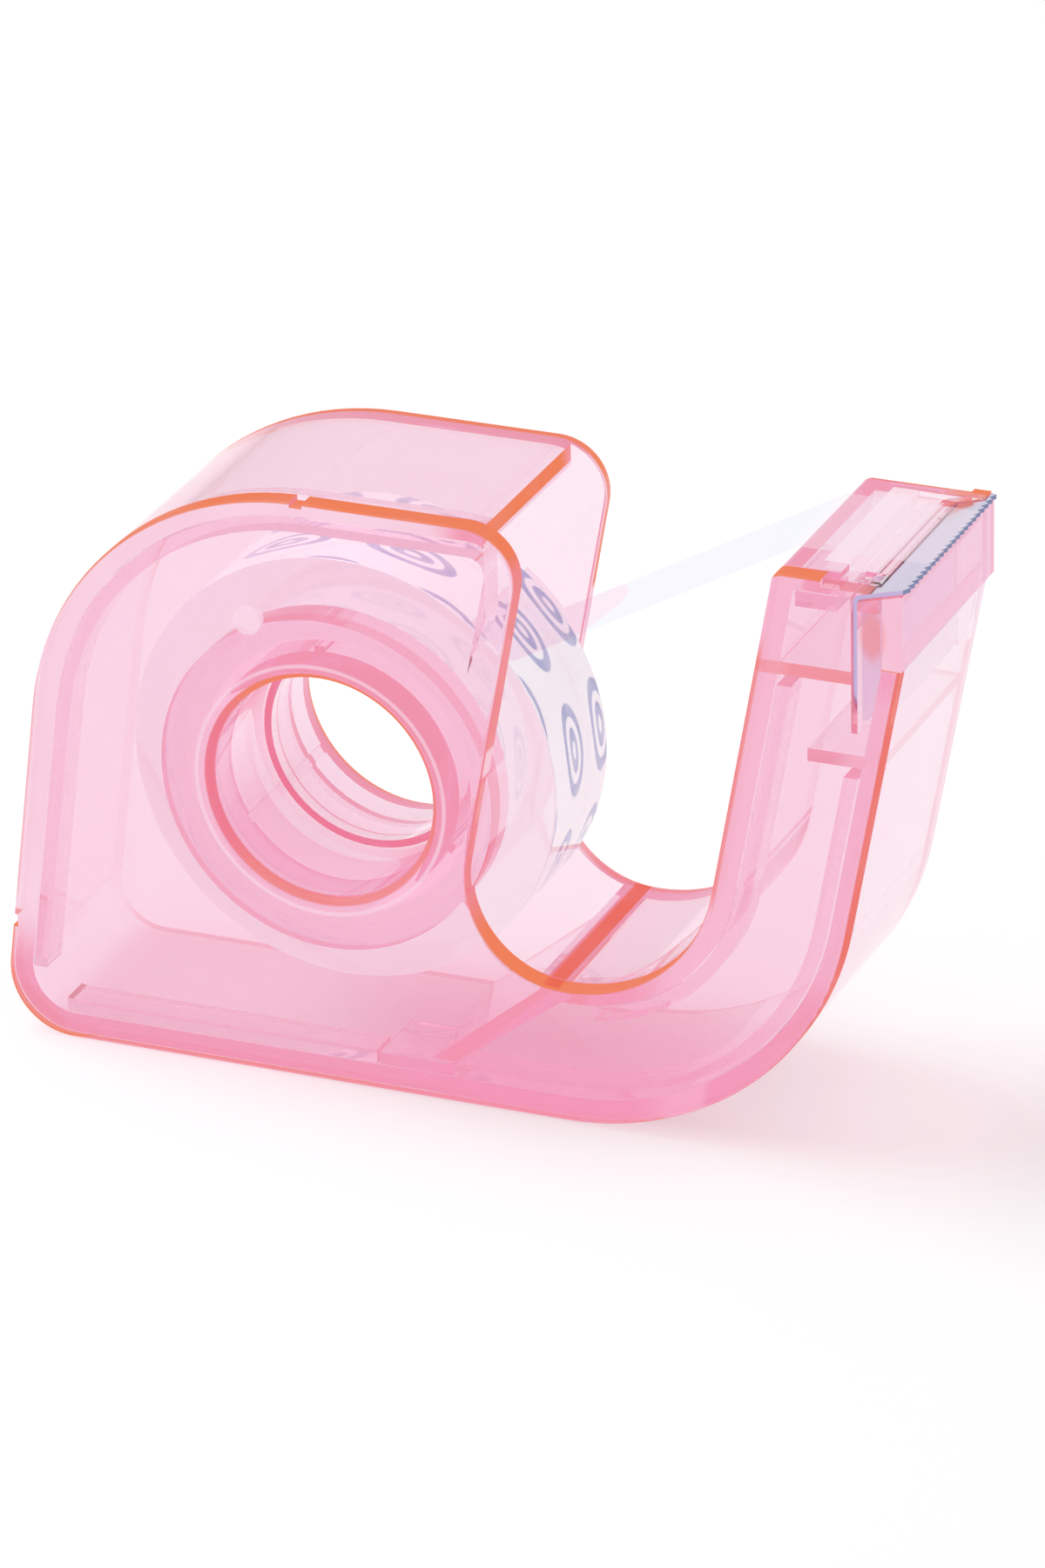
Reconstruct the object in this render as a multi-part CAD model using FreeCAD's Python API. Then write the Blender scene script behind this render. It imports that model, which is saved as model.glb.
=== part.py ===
"""Hand-held tape dispenser: a two-part moulded case, a bent steel cutter and a roll of clear tape.

Frame: millimetres, +Z up. The origin lies on the resting face, straight under the roll's axis and
midway between the two side faces. +X points from the roll to the cutter, +Y from the cover to the shell.
"""
import FreeCAD, Part
import math
import os
from FreeCAD import Placement, Rotation, Vector

# Case, seen from the side
BODY_WIDTH = 23.0          # over both side faces
AXIS_Z = 28.3              # roll axis above the resting face
HOUSING_TOP_Z = 55.4
HEAD_TOP_Z = 55.4
VALLEY_Z = 12.75           # lowest point of the finger gap
BACK_X = -28.2             # back edge, measured at the height of the axis
BACK_LEAN = 7.4            # degrees from upright
FRONT_X = 14.7             # front edge of the roll housing, at the height of the axis
FRONT_LEAN = 10.7          # lean of the housing's front edge and of the arm
VALLEY_GAP = 22.7          # housing to arm, level
ARM_DEPTH = 12.8           # through the arm, level
CROWN_R = 26.4
HEEL_R = 6.0
ARM_R = 26.8
VALLEY_ARM_R = 14.0
VALLEY_HOUSING_R = 9.0
BROW_R = 4.8
NOSE_R = 1.5
HEAD_REAR_R = 1.0
LIP_DROP = 7.5             # nose that carries the cutter, from the head's top to its underside
LIP_STEP = 0.35            # how far the nose stands out of the arm

# Mouldings
SIDE_T = 1.9               # side walls
WALL_T = 1.8               # rim wall between them
COVER_EDGE_R = 0.4
SHELL_EDGE_R = 0.9
RIB_GAP = 0.15             # cover's locating rib to the rim wall
RIB_T = 1.3
RIB_DEPTH = 3.0
RIB_BREAK = 5.0            # rib's end past the mouth
RIB_HEAD_STOP = 8.0        # rib's end to the arm's edges at the head
MOUTH_TOP_X = 15.6         # where the top wall stops
MOUTH_FLOOR_X = 20.0       # where the finger gap's wall starts
PARTITION_T = 1.4          # slanting wall between the roll and the arm
PARTITION_RUN = 13.5
SHELF_T = 1.2
UPPER_SHELF_DROP = 9.9     # shelves below the head's top
LOWER_SHELF_DROP = 17.6
LOWER_SHELF_REACH = 5.0
PART_GAP = 0.1             # between mouldings that don't have to touch
SEAM_GAP = 0.08            # cover to the edge of the rim wall
JOIN = 0.5                 # how far fused features run into each other

# Hub
HUB_R = 11.9               # tube on both mouldings
HUB_FIT = 0.35             # core to the crest of the ribs that it runs on
HUB_RIB_H = 0.5
HUB_RIB_W = 1.0
HUB_T = 1.5                # wall of the cover's half
HUB_RIBS = 3
HUB_RIB_START = 95.0       # degrees from +X
RIM_R = 1.2                # rounded mouth of the hole
COVER_HUB_LENGTH = 11.3
SPIGOT_T = 0.7
SPIGOT_LENGTH = 2.0
SHELL_HUB_T = 1.2          # wall of the shell's half at its outer face
LAND_REACH = 1.3           # lands that the roll runs between, past the core
LAND_T = 1.4

# Snap catch of the cover
SNAP_LENGTH = 7.0
SNAP_DEPTH = 7.0
SNAP_T = 1.2
SNAP_HOOK = 0.5
SNAP_HOOK_W = 1.6
SNAP_X = 8.1
PRY_W = 1.2                # finger-nail notches in the cover's edge
PRY_DEPTH = 0.5
PRY_TOP_X = -1.5
PRY_BACK_Z = 10.8
EJECTOR_R = 1.2
EJECTOR_DEPTH = 0.8
EJECTOR_AT = (-6.5, 43.6)

# Cutter
BLADE_T = 0.4
BLADE_INSET = 0.3          # blade end to the side face
BLADE_LEG_BACK = 4.5       # leg behind the nose
BLADE_LEG_DROP = 13.7      # lower end of the leg below the head's top
BLADE_LEG_R = 4.0
BLADE_BEND_DROP = 1.6      # bend below the head's top
BLADE_BEND_R = 0.8
BLADE_TILT = 14.5          # degrees that the toothed flange rises
BLADE_OVERHANG = 0.5       # teeth past the nose
BLADE_GAP = 0.08
TOOTH_PITCH = 1.0
TOOTH_DEPTH = 0.5
BAR_FRONT_BACK = 2.6       # front of the clamping bar behind the nose
BAR_DEPTH = 2.5
BAR_HEIGHT = 2.4
BAR_DROP = 0.6             # bar below the landing
GROOVE_W = 1.1
GROOVE_DEPTH = 2.5
GROOVE_START = 4.9         # from the cover's outer face
GROOVE_END = 20.5
POCKET_DEPTH = 0.5
POCKET_INSET = 0.6         # pocket to what surrounds it
COVER_STEP_BACK = 7.3      # step in the cover's top edge, behind the nose
COVER_STEP = 0.7
TONGUE_T = 1.4
TONGUE_DEPTH = 6.7

# Roll
TAPE_WIDTH = 12.0
ROLL_SHIFT = 0.2           # roll's mid-plane towards the shell
ROLL_GAP = 0.3             # roll to the lands beside it
CORE_T = 1.65
WOUND_R = 20.0
FIRST_TURN_GAP = 0.05      # first turn of film to the core
CORE_CHAMFER = 0.3

# Free end of the tape
FILM_T = 0.15
FILM_GAP = 0.15            # free tape to whatever it passes over
PEEL_GAP = 0.3             # free tape to the roll
FILM_RISE = 29.0           # degrees
HUG_TURN = 14.0            # degrees of the roll that the lifted tape still follows
FILM_CREST = 0.3           # where the tape lands, past the head's rear edge

HUB_RIB_R = HUB_R + HUB_RIB_H
CORE_BORE_R = HUB_RIB_R + HUB_FIT
BORE_R = HUB_R - HUB_T
SPIGOT_BORE_R = BORE_R - PART_GAP - SPIGOT_T
SHELL_BORE_R = HUB_R - SHELL_HUB_T
LAND_R = CORE_BORE_R + CORE_T + LAND_REACH
LIP_Z = HEAD_TOP_Z - LIP_DROP
UPPER_SHELF_Z = HEAD_TOP_Z - UPPER_SHELF_DROP
LOWER_SHELF_Z = HEAD_TOP_Z - LOWER_SHELF_DROP
BLADE_LEG_Z = HEAD_TOP_Z - BLADE_LEG_DROP
BLADE_BEND_Z = HEAD_TOP_Z - BLADE_BEND_DROP
NEAR_Y = -BODY_WIDTH / 2
FAR_Y = BODY_WIDTH / 2
SEAM_Y = NEAR_Y + SIDE_T
FAR_INNER_Y = FAR_Y - SIDE_T
ROLL_Y0 = ROLL_SHIFT - TAPE_WIDTH / 2
ROLL_Y1 = ROLL_SHIFT + TAPE_WIDTH / 2
NOSE_X = FRONT_X + VALLEY_GAP + ARM_DEPTH + (LIP_Z - AXIS_Z) * math.tan(math.radians(FRONT_LEAN)) + LIP_STEP
LANDING_X = NOSE_X - BAR_FRONT_BACK - BAR_DEPTH - GROOVE_W
PARTITION_LEVEL_T = PARTITION_T * math.hypot(PARTITION_RUN, VALLEY_Z) / VALLEY_Z
FAR = 100.0                # longer than the part, for cutters
CLEAR = 1.0                # cutters past what they open
UP_Y = Vector(0, 1, 0)


def leaning_x(x_at_axis, lean, z):
    """Place on a leaning edge at height z."""
    return x_at_axis + (z - AXIS_Z) * math.tan(math.radians(lean))


def front_x(z):
    return leaning_x(FRONT_X, FRONT_LEAN, z)


def arm_inner_x(z):
    return leaning_x(FRONT_X + VALLEY_GAP, FRONT_LEAN, z)


def arm_outer_x(z):
    return leaning_x(FRONT_X + VALLEY_GAP + ARM_DEPTH, FRONT_LEAN, z)


def back_x(z):
    return leaning_x(BACK_X, BACK_LEAN, z)


def rounded_face(corners):
    """Flat face in the XZ plane from (x, z, radius) corners, each rounded by a tangent arc."""
    count = len(corners)
    edges = []
    ends = []
    for i, (x, z, radius) in enumerate(corners):
        here = Vector(x, 0, z)
        before = Vector(corners[i - 1][0], 0, corners[i - 1][1]) - here
        after = Vector(corners[(i + 1) % count][0], 0, corners[(i + 1) % count][1]) - here
        before.normalize()
        after.normalize()
        if radius <= 0:
            ends.append((here, here))
            continue
        half = before.getAngle(after) / 2
        start = here + before * (radius / math.tan(half))
        end = here + after * (radius / math.tan(half))
        bisector = before + after
        bisector.normalize()
        middle = here + bisector * (radius / math.sin(half) - radius)
        edges.append((i, Part.Arc(start, middle, end).toShape()))
        ends.append((start, end))
    arcs = dict(edges)
    outline = []
    for i in range(count):
        if i in arcs:
            outline.append(arcs[i])
        leave = ends[i][1]
        arrive = ends[(i + 1) % count][0]
        if leave.distanceToPoint(arrive) > 1e-6:
            outline.append(Part.makeLine(leave, arrive))
    return Part.Face(Part.Wire(outline))


def slab(face, y0, y1):
    """Solid between two depths from a face drawn in the XZ plane."""
    moved = face.copy()
    moved.translate(Vector(0, y0, 0))
    return moved.extrude(Vector(0, y1 - y0, 0))


def polygon(points):
    return rounded_face([(x, z, 0) for x, z in points])


def block(x0, x1, y0, y1, z0, z1):
    return Part.makeBox(x1 - x0, y1 - y0, z1 - z0, Vector(x0, y0, z0))


def disc(radius, y0, y1):
    """Cylinder on the roll's axis."""
    return Part.makeCylinder(radius, y1 - y0, Vector(0, y0, AXIS_Z), UP_Y)


def ring(inner, outer, y0, y1):
    return disc(outer, y0, y1).cut(disc(inner, y0, y1))


def turned(points):
    """Solid of revolution about the roll's axis from (radius, y) corners."""
    wire = Part.makePolygon([Vector(r, y, AXIS_Z) for r, y in points + points[:1]])
    return Part.Face(wire).revolve(Vector(0, 0, AXIS_Z), UP_Y, 360)


def rounded_mouth(radius, y_face, inward):
    """Cutter that rounds the mouth of a hole; inward is +1 when the hole runs towards +Y."""
    face_pt = Vector(radius + RIM_R, y_face, AXIS_Z)
    bore_pt = Vector(radius, y_face + inward * RIM_R, AXIS_Z)
    slant = RIM_R * (1 - math.sqrt(0.5))
    middle = Vector(radius + slant, y_face + inward * slant, AXIS_Z)
    corner = Vector(radius - CLEAR, y_face, AXIS_Z)
    deep = Vector(radius - CLEAR, y_face + inward * RIM_R, AXIS_Z)
    wire = Part.Wire([
        Part.Arc(face_pt, middle, bore_pt).toShape(),
        Part.makeLine(bore_pt, deep),
        Part.makeLine(deep, corner),
        Part.makeLine(corner, face_pt),
    ])
    return Part.Face(wire).revolve(Vector(0, 0, AXIS_Z), UP_Y, 360)


def case_face():
    """Outline that both side walls share."""
    return rounded_face([
        (back_x(HOUSING_TOP_Z), HOUSING_TOP_Z, CROWN_R),
        (front_x(HOUSING_TOP_Z), HOUSING_TOP_Z, BROW_R),
        (front_x(VALLEY_Z), VALLEY_Z, VALLEY_HOUSING_R),
        (arm_inner_x(VALLEY_Z), VALLEY_Z, VALLEY_ARM_R),
        (arm_inner_x(HEAD_TOP_Z), HEAD_TOP_Z, HEAD_REAR_R),
        (NOSE_X, HEAD_TOP_Z, NOSE_R),
        (NOSE_X, LIP_Z, 0),
        (arm_outer_x(LIP_Z), LIP_Z, 0),
        (arm_outer_x(0), 0, ARM_R),
        (back_x(0), 0, HEEL_R),
    ])


def inset(face, distance):
    return face.makeOffset2D(-distance, 2, False, False, True)


def rim(outer_inset, thickness, y0, y1):
    """Wall of even thickness that follows the outline, set in from it."""
    outer = case_face() if outer_inset == 0 else inset(case_face(), outer_inset)
    inner = inset(case_face(), outer_inset + thickness)
    return slab(outer, y0, y1).cut(slab(inner, y0 - CLEAR, y1 + CLEAR))


def mouth_cutter(depth, floor_x):
    """Opening that the roll shows through, from the top wall round to the finger gap's floor."""
    low = VALLEY_Z - depth
    high = HOUSING_TOP_Z + CLEAR
    inner = FRONT_X - depth - CLEAR
    gap_middle = FRONT_X + VALLEY_GAP / 2
    return slab(polygon([
        (MOUTH_TOP_X, high),
        (gap_middle, high),
        (gap_middle, AXIS_Z),
        (floor_x, VALLEY_Z + CLEAR),
        (floor_x, low),
        (inner, low),
        (inner, AXIS_Z),
        (MOUTH_TOP_X, HOUSING_TOP_Z - BROW_R - depth),
    ]), -FAR, FAR)


def flange_z(x):
    """Underside of the cutter's toothed flange."""
    leg_x = NOSE_X - BLADE_LEG_BACK
    return BLADE_BEND_Z + (x - leg_x) * math.tan(math.radians(BLADE_TILT))


def blade_strip(grow, y0, y1):
    """Bent strip of the cutter, grown all round by a clearance."""
    leg_x = NOSE_X - BLADE_LEG_BACK
    tip_x = NOSE_X + BLADE_OVERHANG
    rise = BLADE_T / math.cos(math.radians(BLADE_TILT))
    g = grow
    return slab(rounded_face([
        (leg_x + BLADE_T + g, BLADE_LEG_Z - g, 0),
        (leg_x + BLADE_T + g, flange_z(leg_x + BLADE_T) - g, max(BLADE_BEND_R - BLADE_T - g, 0.05)),
        (tip_x + g, flange_z(tip_x) - g, 0),
        (tip_x + g, flange_z(tip_x) + rise + g, 0),
        (leg_x - g, flange_z(leg_x) + rise + g, BLADE_BEND_R),
        (leg_x - g, BLADE_LEG_Z - g, 0),
    ]), y0, y1)


def cutter_blade():
    """Bent spring-steel strip with a saw-toothed front edge and round-cornered leg."""
    y0 = NEAR_Y + BLADE_INSET
    y1 = FAR_Y - BLADE_INSET
    strip = blade_strip(0, y0, y1)
    leg_outline = Part.Face(Part.Wire([
        Part.makeLine(Vector(0, y0, FAR), Vector(0, y0, BLADE_LEG_Z + BLADE_LEG_R)),
        corner_arc(y0 + BLADE_LEG_R, BLADE_LEG_Z + BLADE_LEG_R, -1),
        Part.makeLine(Vector(0, y0 + BLADE_LEG_R, BLADE_LEG_Z), Vector(0, y1 - BLADE_LEG_R, BLADE_LEG_Z)),
        corner_arc(y1 - BLADE_LEG_R, BLADE_LEG_Z + BLADE_LEG_R, 1),
        Part.makeLine(Vector(0, y1, BLADE_LEG_Z + BLADE_LEG_R), Vector(0, y1, FAR)),
        Part.makeLine(Vector(0, y1, FAR), Vector(0, y0, FAR)),
    ]))
    return strip.common(leg_outline.extrude(Vector(FAR, 0, 0))).cut(tooth_gullets(y0, y1))


def corner_arc(y, z, side):
    """Quarter circle at a lower corner of the cutter's leg, in the YZ plane."""
    s = BLADE_LEG_R * math.sqrt(0.5)
    level = Vector(0, y + side * BLADE_LEG_R, z)
    middle = Vector(0, y + side * s, z - s)
    bottom = Vector(0, y, z - BLADE_LEG_R)
    return Part.Arc(level, middle, bottom).toShape()


def tooth_gullets(y0, y1):
    """One saw-shaped cutter for the whole row of teeth."""
    teeth = int((y1 - y0) / TOOTH_PITCH)
    pitch = (y1 - y0) / teeth
    tip_x = NOSE_X + BLADE_OVERHANG
    points = []
    for i in range(teeth):
        points.append(Vector(tip_x - TOOTH_DEPTH, y0 + i * pitch, 0))
        points.append(Vector(tip_x, y0 + (i + 0.5) * pitch, 0))
    points.append(Vector(tip_x - TOOTH_DEPTH, y1, 0))
    points.append(Vector(tip_x + CLEAR, y1 + CLEAR, 0))
    points.append(Vector(tip_x + CLEAR, y0 - CLEAR, 0))
    return Part.Face(Part.makePolygon(points + points[:1])).extrude(Vector(0, 0, FAR))


def snap_profile(x, grow):
    """Hook of the snap catch in the YZ plane, with its tip in the base wall."""
    tip = SEAM_Y + SNAP_DEPTH
    foot = WALL_T + RIB_GAP
    points = [
        Vector(x, tip - SNAP_HOOK_W - grow, foot),
        Vector(x, tip - SNAP_HOOK_W / 2, foot - SNAP_HOOK - grow),
        Vector(x, tip + grow, foot),
        Vector(x, tip + grow, foot + SNAP_T / 2),
        Vector(x, tip - SNAP_HOOK_W - grow, foot + SNAP_T / 2),
    ]
    return Part.Face(Part.makePolygon(points + points[:1]))


def snap_tongue():
    x0 = SNAP_X - SNAP_LENGTH / 2
    foot = WALL_T + RIB_GAP
    tongue = block(x0, x0 + SNAP_LENGTH, SEAM_Y - JOIN, SEAM_Y + SNAP_DEPTH, foot, foot + SNAP_T)
    return tongue.fuse(snap_profile(x0, 0).extrude(Vector(SNAP_LENGTH, 0, 0)))


def snap_pocket():
    x0 = SNAP_X - SNAP_LENGTH / 2 - PART_GAP
    return snap_profile(x0, PART_GAP).extrude(Vector(SNAP_LENGTH + 2 * PART_GAP, 0, 0))


def snap_notch():
    """Room for the catch in the partition."""
    x0 = SNAP_X - SNAP_LENGTH / 2 - 2 * PART_GAP
    top = WALL_T + RIB_GAP + SNAP_T + 2 * PART_GAP
    return block(x0, x0 + SNAP_LENGTH + 4 * PART_GAP, SEAM_Y - CLEAR, SEAM_Y + SNAP_DEPTH + 2 * PART_GAP, WALL_T, top)


def placed(shape, placement):
    moved = shape.copy()
    moved.Placement = placement.multiply(moved.Placement)
    return moved


def hub_ribs(y0, y1):
    """Slim ribs along the hub that centre the core."""
    ribs = []
    for i in range(HUB_RIBS):
        rib = block(HUB_R - JOIN, HUB_RIB_R, y0, y1, -HUB_RIB_W / 2, HUB_RIB_W / 2)
        turn = -(HUB_RIB_START + i * 360 / HUB_RIBS)
        ribs.append(placed(rib, Placement(Vector(0, 0, AXIS_Z), Rotation(UP_Y, turn))))
    return ribs


def locating_rib():
    """Rib under the cover that drops inside the rim wall, broken where the wall has other work."""
    rib = rim(WALL_T + RIB_GAP, RIB_T, SEAM_Y, SEAM_Y + RIB_DEPTH)
    rib = rib.cut(mouth_cutter(WALL_T + RIB_GAP + RIB_T + CLEAR, MOUTH_FLOOR_X + RIB_BREAK))
    y0 = SEAM_Y - CLEAR
    y1 = SEAM_Y + RIB_DEPTH + CLEAR
    snap_x0 = SNAP_X - SNAP_LENGTH / 2 - PART_GAP * 3
    foot_x = MOUTH_FLOOR_X - PARTITION_RUN
    foot_reach = PARTITION_RUN * (WALL_T + RIB_GAP + RIB_T) / VALLEY_Z + PARTITION_LEVEL_T
    gaps = [
        block(snap_x0, snap_x0 + SNAP_LENGTH + PART_GAP * 6, y0, y1, 0, WALL_T + RIB_T + CLEAR),
        block(foot_x, foot_x + foot_reach + PART_GAP, y0, y1, -CLEAR, WALL_T + RIB_GAP + RIB_T + CLEAR),
        block(-FAR, back_x(0) + HEEL_R, y0, y1, -CLEAR, HEEL_R),
        block(arm_outer_x(LOWER_SHELF_Z) - RIB_HEAD_STOP, FAR, y0, y1, LOWER_SHELF_Z - CLEAR, FAR),
        block(arm_inner_x(UPPER_SHELF_Z) - RIB_HEAD_STOP, FAR, y0, y1, UPPER_SHELF_Z - CLEAR, FAR),
    ]
    for gap in gaps:
        rib = rib.cut(gap)
    return rib


def near_cover():
    """Side wall that snaps on: locating rib, half of the hub, land, snap catch and head tongue."""
    plate = slab(case_face(), NEAR_Y, SEAM_Y)
    plate = plate.makeFillet(COVER_EDGE_R, face_edges(plate, NEAR_Y))
    cover = plate.fuse([
        disc(HUB_R, SEAM_Y - JOIN, SEAM_Y + COVER_HUB_LENGTH),
        disc(LAND_R, SEAM_Y - JOIN, ROLL_Y0 - ROLL_GAP),
        locating_rib(),
        head_tongue(),
        snap_tongue(),
    ])
    cover = cover.fuse(hub_ribs(SEAM_Y, SEAM_Y + COVER_HUB_LENGTH))
    cuts = [
        disc(BORE_R, NEAR_Y - CLEAR, SEAM_Y + COVER_HUB_LENGTH + CLEAR),
        rounded_mouth(BORE_R, NEAR_Y, 1),
        Part.makeCylinder(EJECTOR_R, EJECTOR_DEPTH,
                          Vector(EJECTOR_AT[0], SEAM_Y - EJECTOR_DEPTH, EJECTOR_AT[1]), UP_Y),
        cover_head_cut(),
        blade_strip(BLADE_GAP, NEAR_Y - CLEAR, SEAM_Y + BLADE_GAP),
    ]
    half = PRY_W / 2
    cuts.append(block(PRY_TOP_X - half, PRY_TOP_X + half, NEAR_Y - CLEAR, SEAM_Y, HOUSING_TOP_Z - PRY_DEPTH, FAR))
    cuts.append(block(-FAR, back_x(PRY_BACK_Z) + PRY_DEPTH, NEAR_Y - CLEAR, SEAM_Y,
                      PRY_BACK_Z - half, PRY_BACK_Z + half))
    for cut in cuts:
        cover = cover.cut(cut)
    return cover.removeSplitter()


def face_edges(shape, y):
    """Edges that lie flat at a depth."""
    found = []
    for edge in shape.Edges:
        box = edge.BoundBox
        if abs(box.YMin - y) < 1e-6 and abs(box.YMax - y) < 1e-6:
            found.append(edge)
    return found


def cover_head_cut():
    """Takes the cover back behind the nose, and steps its top edge down under the tape."""
    y0 = NEAR_Y - CLEAR
    y1 = SEAM_Y
    nose = block(NOSE_X - WALL_T - PART_GAP, FAR, y0, y1, LIP_Z - PART_GAP, FAR)
    step = block(NOSE_X - COVER_STEP_BACK, FAR, y0, y1, HEAD_TOP_Z - COVER_STEP, FAR)
    return nose.fuse(step)


def head_tongue():
    """Tongue of the cover that reaches under the landing."""
    top = HEAD_TOP_Z - WALL_T - PART_GAP
    x0 = arm_inner_x(top) + WALL_T / math.cos(math.radians(FRONT_LEAN)) + PART_GAP * 2
    return block(x0, LANDING_X - PART_GAP, SEAM_Y, SEAM_Y + TONGUE_DEPTH, top - TONGUE_T, top)


def partition():
    """Slanting wall from the start of the finger gap's floor down to the base, notched over a catch."""
    x = MOUTH_FLOOR_X
    floor = WALL_T / 2
    wall = slab(polygon([
        (x, VALLEY_Z - WALL_T / 2),
        (x + PARTITION_LEVEL_T, VALLEY_Z - WALL_T),
        (x + PARTITION_LEVEL_T - PARTITION_RUN, floor),
        (x - PARTITION_RUN, floor),
    ]), SEAM_Y + PART_GAP, FAR_INNER_Y + JOIN)
    return wall.cut(snap_notch())


def shelves():
    """Two level shelves in the arm, one from each wall, that stiffen the head."""
    y0 = SEAM_Y + PART_GAP
    y1 = FAR_INNER_Y + JOIN
    support_x = NOSE_X - BLADE_LEG_BACK - BLADE_GAP
    upper = block(arm_inner_x(UPPER_SHELF_Z) + WALL_T / 2, support_x, y0, y1, UPPER_SHELF_Z, UPPER_SHELF_Z + SHELF_T)
    lower = block(arm_outer_x(LOWER_SHELF_Z) - WALL_T - LOWER_SHELF_REACH, arm_outer_x(LOWER_SHELF_Z) - WALL_T / 2,
                  y0, y1, LOWER_SHELF_Z, LOWER_SHELF_Z + SHELF_T)
    rest = block(support_x - SHELF_T, support_x, SEAM_Y + TONGUE_DEPTH + PART_GAP, y1,
                 UPPER_SHELF_Z, HEAD_TOP_Z - WALL_T / 2)
    return [upper, lower, rest]


def nose_block():
    """Full-width front of the head, under the cutter's teeth."""
    return block(NOSE_X - WALL_T, NOSE_X, NEAR_Y, FAR_Y, LIP_Z, HEAD_TOP_Z)


def clamp_bar():
    """Bar that holds the cutter's flange down."""
    x1 = NOSE_X - BAR_FRONT_BACK
    top = HEAD_TOP_Z - BAR_DROP
    return block(x1 - BAR_DEPTH, x1, SEAM_Y + PART_GAP, FAR_INNER_Y + JOIN, top - BAR_HEIGHT, top)


def head_cuts():
    """Everything taken out of the shell's head."""
    bar_x1 = NOSE_X - BAR_FRONT_BACK
    bar_x0 = bar_x1 - BAR_DEPTH
    top = HEAD_TOP_Z + CLEAR
    past_x = NOSE_X + CLEAR
    low_top = block(LANDING_X, FAR, NEAR_Y - CLEAR, FAR_INNER_Y, HEAD_TOP_Z - BAR_DROP, top)
    groove = block(LANDING_X, bar_x0, NEAR_Y + GROOVE_START, NEAR_Y + GROOVE_END, HEAD_TOP_Z - GROOVE_DEPTH, top)
    pocket = block(bar_x0 + POCKET_INSET / 2, bar_x1 - POCKET_INSET / 2,
                   SEAM_Y + POCKET_INSET, NEAR_Y + GROOVE_START - POCKET_INSET,
                   HEAD_TOP_Z - BAR_DROP - POCKET_DEPTH, top)
    over_flange = slab(polygon([
        (bar_x1, flange_z(bar_x1) - BLADE_GAP),
        (past_x, flange_z(past_x) - BLADE_GAP),
        (past_x, top),
        (bar_x1, top),
    ]), NEAR_Y - CLEAR, FAR_INNER_Y)
    blade = blade_strip(BLADE_GAP, NEAR_Y - CLEAR, FAR_Y + CLEAR)
    return [low_top, groove, pocket, over_flange, blade]


def shell_hub():
    """Shell's half of the hub, with the spigot that enters the cover's half."""
    meet = SEAM_Y + COVER_HUB_LENGTH + PART_GAP
    tube = disc(HUB_R, meet, FAR_INNER_Y + JOIN)
    spigot = disc(BORE_R - PART_GAP, meet - SPIGOT_LENGTH, meet + JOIN)
    land = ring(LAND_R - LAND_T, LAND_R, ROLL_Y1 + ROLL_GAP, FAR_INNER_Y + JOIN)
    return [tube, spigot, land] + hub_ribs(meet, FAR_INNER_Y + JOIN)


def shell_bore():
    """Tapered hole of the shell's half, widest at the outer face."""
    start = SEAM_Y + COVER_HUB_LENGTH + PART_GAP - SPIGOT_LENGTH - 0.01
    end = FAR_Y + 0.01
    return turned([(0, start), (SPIGOT_BORE_R, start), (SHELL_BORE_R, end), (0, end)])


def far_shell():
    """Main moulding: far side wall, rim wall, half of the hub, partition, shelves and head."""
    y_mid = FAR_INNER_Y + JOIN
    side = slab(case_face(), FAR_INNER_Y, FAR_Y)
    wall = rim(0, WALL_T, SEAM_Y + SEAM_GAP, y_mid).cut(mouth_cutter(WALL_T + CLEAR, MOUTH_FLOOR_X))
    body = side.fuse(wall).removeSplitter()
    body = body.makeFillet(SHELL_EDGE_R, face_edges(body, FAR_Y))
    body = body.fuse([partition(), nose_block(), clamp_bar()] + shelves())
    body = body.fuse(shell_hub())
    cuts = head_cuts() + [shell_bore(), rounded_mouth(SHELL_BORE_R, FAR_Y, -1)]
    cuts.append(snap_pocket())
    for cut in cuts:
        body = body.cut(cut)
    return body.removeSplitter()


def tape_core():
    """Plain core with lightly broken inner corners."""
    outer = CORE_BORE_R + CORE_T
    c = CORE_CHAMFER
    return turned([
        (CORE_BORE_R + c, ROLL_Y0), (outer, ROLL_Y0), (outer, ROLL_Y1),
        (CORE_BORE_R + c, ROLL_Y1), (CORE_BORE_R, ROLL_Y1 - c), (CORE_BORE_R, ROLL_Y0 + c),
    ])


def tape_winding():
    return ring(CORE_BORE_R + CORE_T + FIRST_TURN_GAP, WOUND_R, ROLL_Y0, ROLL_Y1)


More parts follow.
